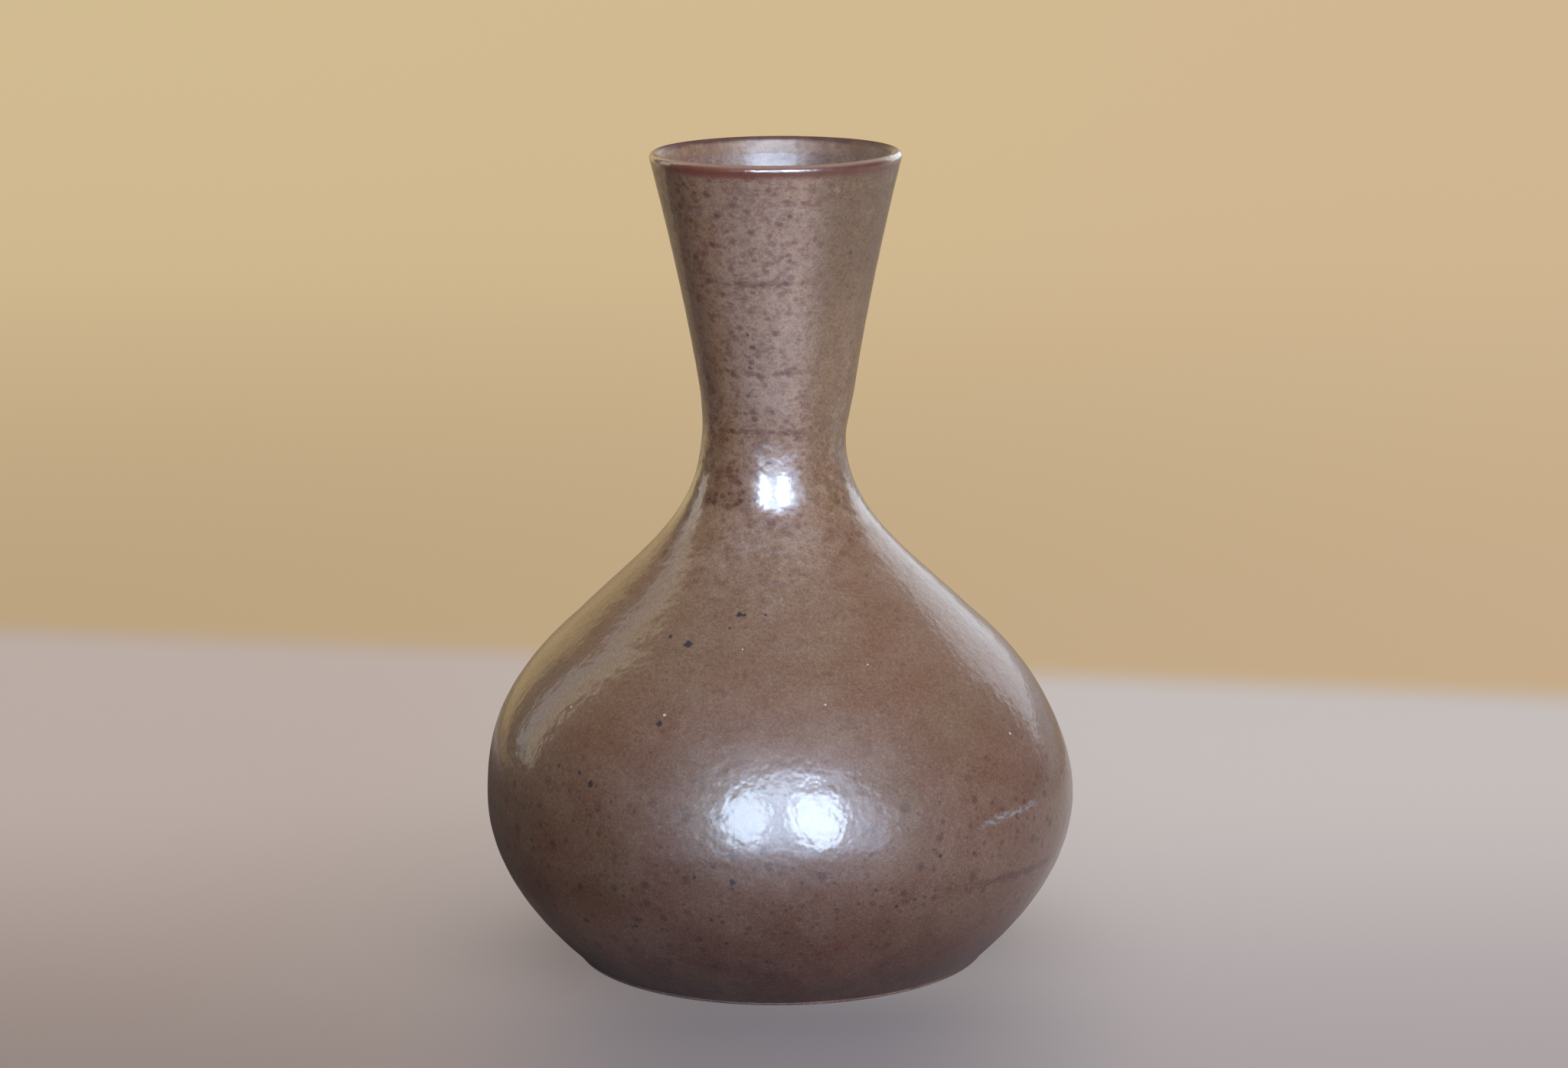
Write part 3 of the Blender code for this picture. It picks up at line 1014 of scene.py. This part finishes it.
def outer_coat(tree, neck, waist, rim):
    """The share of clear coat: more on the neck, full at the waist, and least inside the lip."""
    coat = scaled(tree, neck, NECK_COAT - GLOBE_COAT, GLOBE_COAT)
    coat = scaled(tree, waist, 1.0 - NECK_COAT, coat)
    coat = scaled(tree, rim["lap"], LAP_COAT - NECK_COAT, coat)
    coat = times(tree, coat, scaled(tree, rim["far crest"], -0.8, 1.0))
    return scaled(tree, rim["lip"], 0.15, coat, clamp=True)


def outer_glaze_finish(mottle, specks, one_speck, band):
    """Warm brown on the globe, paler with red flecks on the neck, red-brown on the lip."""
    made, tree, shader = finish_of("outer glaze")
    x, y, z = axes(tree)
    spot = use(tree, mottle, MOTTLE)
    drift = span(tree, spot["Cloud"], *USUAL, -BODY_DRIFT, BODY_DRIFT)
    drifted = maths(tree, "ADD", z, drift)
    neck = span(tree, drifted, *NECK_ZONE)
    waist = times(tree, span(tree, z, *WAIST_ABOVE), span(tree, z, *WAIST_BELOW))
    smooth_side = banded(tree, band, SMOOTH_SIDE)
    speckled = times(tree, neck, scaled(tree, smooth_side, -0.85, 1.0))
    rim = rim_masks(tree, x, y, z, spot)
    base = body_tones(tree, drifted, spot)
    base = neck_tones(tree, base, z, band, smooth_side)
    base = flecks(tree, base, speckled, spot)
    base = low_dots(tree, base, z, specks)
    base = painted_left_shade(tree, base, band)
    base = marks(tree, base, spot, band)
    base = iron_and_grain(tree, base, spot, specks)
    base = layered(
        tree, base,
        (IRON_BLACK, placed(tree, one_speck, IRON), 0.95),
        (PINHOLE_WHITE, placed(tree, one_speck, PINHOLES), 0.75),
    )
    base = rim_tones(tree, base, x, rim)
    rough = scaled(tree, any_of(tree, rim["lip"], waist), -0.16, lower_gloss(tree, spot))
    coat = outer_coat(tree, neck, waist, rim)
    glaze_surface(tree, shader, base, spot, rough, coat, OUTER_SOFTNESS)
    return made


# The liner glaze

LINER_TONES = (
    (0.000, (84, 60, 50)),
    (0.030, (100, 76, 64)),
    (0.120, (132, 104, 90)),
    (0.190, (161, 134, 124)),
)
LINER_PALE, LINER_FLECK = colour(178, 160, 152), colour(82, 50, 44)
LINER_COAT = 0.56
LINER_SOFTNESS = 0.32


def liner_glaze_finish(mottle, specks):
    """The same glaze inside, darker towards the floor."""
    made, tree, shader = finish_of("liner glaze")
    spot = use(tree, mottle, MOTTLE)
    base = layered(
        tree, tone_by_height(tree, axes(tree)["Z"], LINER_TONES),
        (LINER_PALE, rest_of(tree, spot["Patch"]), 0.28),
        (LINER_FLECK, spot["Fleck"], 0.45),
        (FINE_BROWN, spot["Fine"], 0.3),
    )
    base = iron_and_grain(tree, base, spot, specks)
    glaze_surface(tree, shader, base, spot, lower_gloss(tree, spot), LINER_COAT, LINER_SOFTNESS)
    return made


# Bare clays, by piece: dark and light colour, and how coarse

GLOBE_LOOK = (colour(98, 68, 56), colour(142, 108, 92), 1.0)
NECK_LOOK = (colour(148, 110, 84), colour(190, 158, 128), 0.8)
SLIP_LOOK = (colour(120, 88, 66), colour(160, 126, 98), 0.4)


def clay_finish(name, grain, dark, light, coarseness):
    """Bare fired clay, from its dark colour to its light one by the grain."""
    made, tree, shader = finish_of(name)
    spot = use(tree, grain, {"Coarseness": coarseness})
    feed(tree, shader, {
        "Base Color": mix(tree, span(tree, spot["Shade"], 0.8, 1.15), dark, light),
        "Normal": bumps(tree, spot["Height"], strength=0.6, distance=0.00012),
        "Roughness": 0.85,
    })
    return made


# The room

# Floor and wall: where they reach, the radius of the bend between them, and heights up the wall
FLOOR_FRONT, FLOOR_BACK, FLOOR_HALF_WIDTH = -1.6, 1.1, 1.8
BEND_RADIUS = 0.3
WALL_HEIGHTS = (0.8, 2.0)
FLAT_ROWS, BEND_ROWS, FLOOR_COLUMNS = 60, 40, 25
FLOOR_GAP = 0.00002

# Colours of the board, the straw behind it, and what only the gloss shows of them
# The board's near and far colours make a painted falloff of light, darker towards the front
BOARD_NEAR, BOARD_FAR = colour(171, 163, 165), colour(200, 193, 191)
BROWN_NEAR, BROWN_FAR = colour(226, 215, 203), colour(246, 236, 229)
# The first is a painted shadow of the pot on the board in front of it
PAINTED_FRONT_SHADOW, GLOSS_DARK = colour(106, 106, 117), colour(40, 34, 30)
STRAW_NEAR, STRAW_FAR = colour(190, 165, 130), colour(213, 190, 148)
STRAW_RIGHT, GLOSS_STRAW = colour(212, 184, 150), colour(240, 212, 150)
GLOSS_RIGHT, GLOSS_LEFT, GLOSS_ABOVE = (
    colour(172, 170, 172), colour(60, 48, 40), colour(84, 78, 78))

# Where they change: metres across, to the back and up
BOARD_DEPTH, BOARD_LEFT = (-0.13, 0.16), (0.12, -0.16)
SHADE_DEPTH, SHADE_ACROSS = (-0.02, -0.07), (0.095, 0.015)
DARK_BESIDE, DARK_DEPTH, DARK_FAR_LEFT = (-0.03, -0.09), (0.32, 0.20), (-0.24, -0.40)
BOARD_END, BOARD_END_SLANT = (0.270, 0.315), 0.21
STRAW_DEPTH, STRAW_ACROSS, GLOSS_DEPTH = (0.25, 1.45), (-0.30, 0.40), (0.7, 1.2)
RIGHT_WALL, LEFT_WALL = (0.25, 0.50), (-0.98, -1.16)
ABOVE_HEIGHT, ABOVE_ACROSS = (0.38, 0.52), (0.50, 0.34)

# How bright the board and straw are by their own light, and how much of the board it makes up
OWN_LIGHT = 0.97
BOARD_OWN_SHARE = 0.52


def sweep(finish):
    """A floor that curves up into a wall: y and z along a flat, a quarter circle and a rise."""
    a = np.linspace(-math.pi / 2, 0, BEND_ROWS)[1:]
    flat = np.linspace(FLOOR_FRONT, FLOOR_BACK, FLAT_ROWS)
    wall = np.array(WALL_HEIGHTS)
    bend = BEND_RADIUS * np.cos(a), BEND_RADIUS * np.sin(a)
    y = np.concatenate([flat, FLOOR_BACK + bend[0], 0 * wall + FLOOR_BACK + BEND_RADIUS])
    z = np.concatenate([0 * flat, BEND_RADIUS + bend[1], wall]) - FLOOR_GAP
    x = np.linspace(-FLOOR_HALF_WIDTH, FLOOR_HALF_WIDTH, FLOOR_COLUMNS)
    points = np.stack(np.broadcast_arrays(x[None, :], y[:, None], z[:, None]), -1)
    index = np.arange(points[..., 0].size).reshape(points.shape[:2])
    quads = np.stack([index[:-1, :-1], index[:-1, 1:], index[1:, 1:], index[1:, :-1]], -1)
    smooth_piece("sweep", points.reshape(-1, 3), quads.reshape(-1, 4).tolist(), finish)


def board_colours(tree, x, y, gloss):
    """The board with a painted shadow in front of the pot, and the same with the dark left that the
    gloss shows.
    """
    # Painted falloff of light: the board darker towards the front
    depth = span(tree, y, *BOARD_DEPTH)
    board = mix(tree, depth, BOARD_NEAR, BOARD_FAR)
    brown = tinted(tree, board, mix(tree, depth, BROWN_NEAR, BROWN_FAR))
    board = layer(tree, board, brown, span(tree, x, *BOARD_LEFT))
    # Painted shadow of the pot on the board in front of it
    across = span(tree, maths(tree, "ABSOLUTE", x), *SHADE_ACROSS)
    front = times(tree, span(tree, y, *SHADE_DEPTH), across)
    board = layer(tree, board, PAINTED_FRONT_SHADOW, front, share=0.55)
    beside = times(tree, span(tree, x, *DARK_BESIDE), span(tree, y, *DARK_DEPTH))
    dark_left = any_of(tree, beside, span(tree, x, *DARK_FAR_LEFT))
    return board, layer(tree, board, GLOSS_DARK, times(tree, dark_left, gloss), share=0.9)


def straw_colours(tree, x, y, z, gloss):
    """The straw, and the straw with the light and dark parts of a room that the gloss shows."""
    straw = mix(tree, span(tree, y, *STRAW_DEPTH), STRAW_NEAR, STRAW_FAR)
    straw = layer(tree, straw, STRAW_RIGHT, span(tree, x, *STRAW_ACROSS), share=0.5)
    above = times(
        tree, span(tree, z, *ABOVE_HEIGHT, 0.5, 1.0),
        span(tree, maths(tree, "ABSOLUTE", x), *ABOVE_ACROSS))
    return straw, layered(
        tree, straw,
        (GLOSS_STRAW, times(tree, span(tree, y, *GLOSS_DEPTH), gloss), 0.6),
        (GLOSS_RIGHT, span(tree, x, *RIGHT_WALL), gloss),
        (GLOSS_LEFT, span(tree, x, *LEFT_WALL), gloss),
        (GLOSS_ABOVE, above, gloss),
    )


def sweep_finish():
    """Pale board near the pot and pale straw behind, with a soft change between them.

    The camera sees part of the board, and all of the straw, by their own light, so that shadows
    stay soft. The gloss sees a dark board near the left of the foot, a dark wall far to the left
    and a pale grey wall to the right.
    """
    made, tree, shader = finish_of("sweep")
    x, y, z = axes(tree)
    path = node(tree, "LightPath", {}).outputs
    gloss, seen = path["Is Glossy Ray"], path["Is Camera Ray"]
    board, board_lit = board_colours(tree, x, y, gloss)
    straw, straw_lit = straw_colours(tree, x, y, z, gloss)
    behind = span(tree, scaled(tree, x, BOARD_END_SLANT, y), *BOARD_END)
    feed(tree, shader, {
        "Base Color": mix(tree, behind, board_lit, straw),
        "Roughness": 0.9,
        "Specular IOR Level": 0.2,
    })
    own = {"Color": mix(tree, behind, board, straw_lit), "Strength": OWN_LIGHT}
    glow = node(tree, "Emission", own).outputs[0]
    share = times(tree, behind, any_of(tree, seen, gloss))
    share = any_of(tree, share, times(tree, seen, BOARD_OWN_SHARE))
    both = node(tree, "MixShader", {0: share, 1: shader.outputs[0], 2: glow})
    feed(tree, tree.nodes["Material Output"], {"Surface": both.outputs[0]})
    return made


# Lights and camera

WHITE, SKY, PANE = (1.0, 1.0, 1.0), (0.50, 0.70, 1.0), (0.60, 0.78, 1.0)
COOL, PALE, WARM = (0.80, 0.9, 1.0), (0.90, 0.95, 1.0), (1.0, 0.92, 0.66)

# Lamps: name, azimuth, elevation, distance, width, height, radiance, tint, and any other shape
# than a rectangle
DIFFUSE_LAMPS = (
    ("front", 0.0, 15.0, 1.9, 0.9, 0.9, 2.1, WHITE),
    ("front_right", 42.0, 22.0, 1.9, 1.6, 1.6, 2.5, WHITE),
    ("top", 0.0, 85.0, 1.9, 2.4, 2.4, 1.35, WHITE),
    ("back", 180.0, 50.0, 1.2, 1.2, 1.0, 1.0, WHITE),
)
GLOSS_LAMPS = (
    ("left_pane", -13.0, 16.5, 1.9, 0.54, 0.96, 14.5, PANE, "ELLIPSE"),
    ("middle_pane", 0.0, 17.0, 1.9, 0.46, 0.86, 2.9, SKY),
    ("bridge", 0.0, 31.0, 1.9, 0.76, 0.26, 7.0, PANE, "ELLIPSE"),
    ("right_pane", 15.5, 17.0, 1.9, 0.66, 1.00, 18.5, PANE, "ELLIPSE"),
    ("glow", 3.5, 19.0, 1.9, 1.70, 1.24, 1.9, SKY, "ELLIPSE"),
    ("haze", 8.0, 12.0, 1.9, 2.6, 2.1, 2.9, SKY, "ELLIPSE"),
    ("right_panel", 147.0, 17.0, 1.0, 0.70, 0.48, 1.35, COOL),
    ("left_panel", -124.5, 27.0, 1.0, 0.14, 0.95, 1.25, PALE),
    ("left_warm_panel", -115.5, 27.0, 1.0, 0.13, 0.95, 1.7, WARM),
)
LIT_MIDDLE = Vector((0, 0, 0.08))
SURROUND_STRENGTH = 0.08

# The photograph's camera, by its width and focal length in pixels, degrees and metres
PHOTO_WIDTH = 2048
FOCAL_LENGTH = 5694.6
SENSOR_WIDTH_MM = 36
CAMERA_PITCH, CAMERA_ROLL = 12.1045, -0.42
CAMERA_PLACE = (0.00138, -1.0511, 0.3304)
NEAREST, FARTHEST = 0.05, 20


def lamp(name, azimuth, elevation, distance, width, height, radiance, tint, shape="RECTANGLE"):
    """A soft rectangle or ellipse of light that faces the middle of the pot.

    Azimuth 0 is on the camera's side and turns towards +X. Power = pi * width * height * radiance.
    """
    data = bpy.data.lights.new(name, "AREA")
    data.shape = shape
    data.size = width
    data.size_y = height
    data.energy = math.pi * width * height * radiance
    data.color = tint
    made = linked(name, data)
    a, e = math.radians(azimuth), math.radians(elevation)
    way = Vector((math.sin(a) * math.cos(e), -math.cos(a) * math.cos(e), math.sin(e)))
    made.location = LIT_MIDDLE + way * distance
    made.rotation_euler = way.to_track_quat("Z", "Y").to_euler()
    made.visible_camera = False
    return made


def lights():
    """Soft front, side, top and back light, with panes and panels that only the gloss shows."""
    for place in DIFFUSE_LAMPS:
        lamp(*place).visible_glossy = False
    for place in GLOSS_LAMPS:
        lamp(*place).visible_diffuse = False


def surroundings():
    """A dim, even, pale surround."""
    world = bpy.data.worlds.new("surroundings")
    world.use_nodes = True
    shade = {"Color": (1.0, 1.0, 1.0, 1), "Strength": SURROUND_STRENGTH}
    feed(world.node_tree, world.node_tree.nodes["Background"], shade)
    bpy.context.scene.world = world


def camera():
    """The photograph's viewpoint, looking down by the pitch and turned by the roll."""
    data = bpy.data.cameras.new("camera")
    data.sensor_width = SENSOR_WIDTH_MM
    data.lens = SENSOR_WIDTH_MM * FOCAL_LENGTH / PHOTO_WIDTH
    data.clip_start, data.clip_end = NEAREST, FARTHEST
    made = linked("camera", data)
    pitch, roll = math.radians(CAMERA_PITCH), math.radians(CAMERA_ROLL)
    turn = Matrix.Rotation(math.pi / 2 - pitch, 4, "X") @ Matrix.Rotation(roll, 4, "Z")
    made.matrix_world = Matrix.Translation(CAMERA_PLACE) @ turn
    bpy.context.scene.camera = made


def main():
    """Builds the pot with its finishes, then its room."""
    mottle, specks, grain = mottle_effect(), speck_effect(), clay_effect()
    outer_glaze_coat(outer_glaze_finish(mottle, specks, placed_effect(), band_effect()))
    liner_glaze_coat(liner_glaze_finish(mottle, specks))
    clay_globe(clay_finish("globe clay", grain, *GLOBE_LOOK))
    clay_neck(clay_finish("neck clay", grain, *NECK_LOOK))
    slip_ring(clay_finish("slip", grain, *SLIP_LOOK))
    sweep(sweep_finish())
    lights()
    surroundings()
    camera()
    bpy.context.scene.view_settings.view_transform = "Standard"


main()
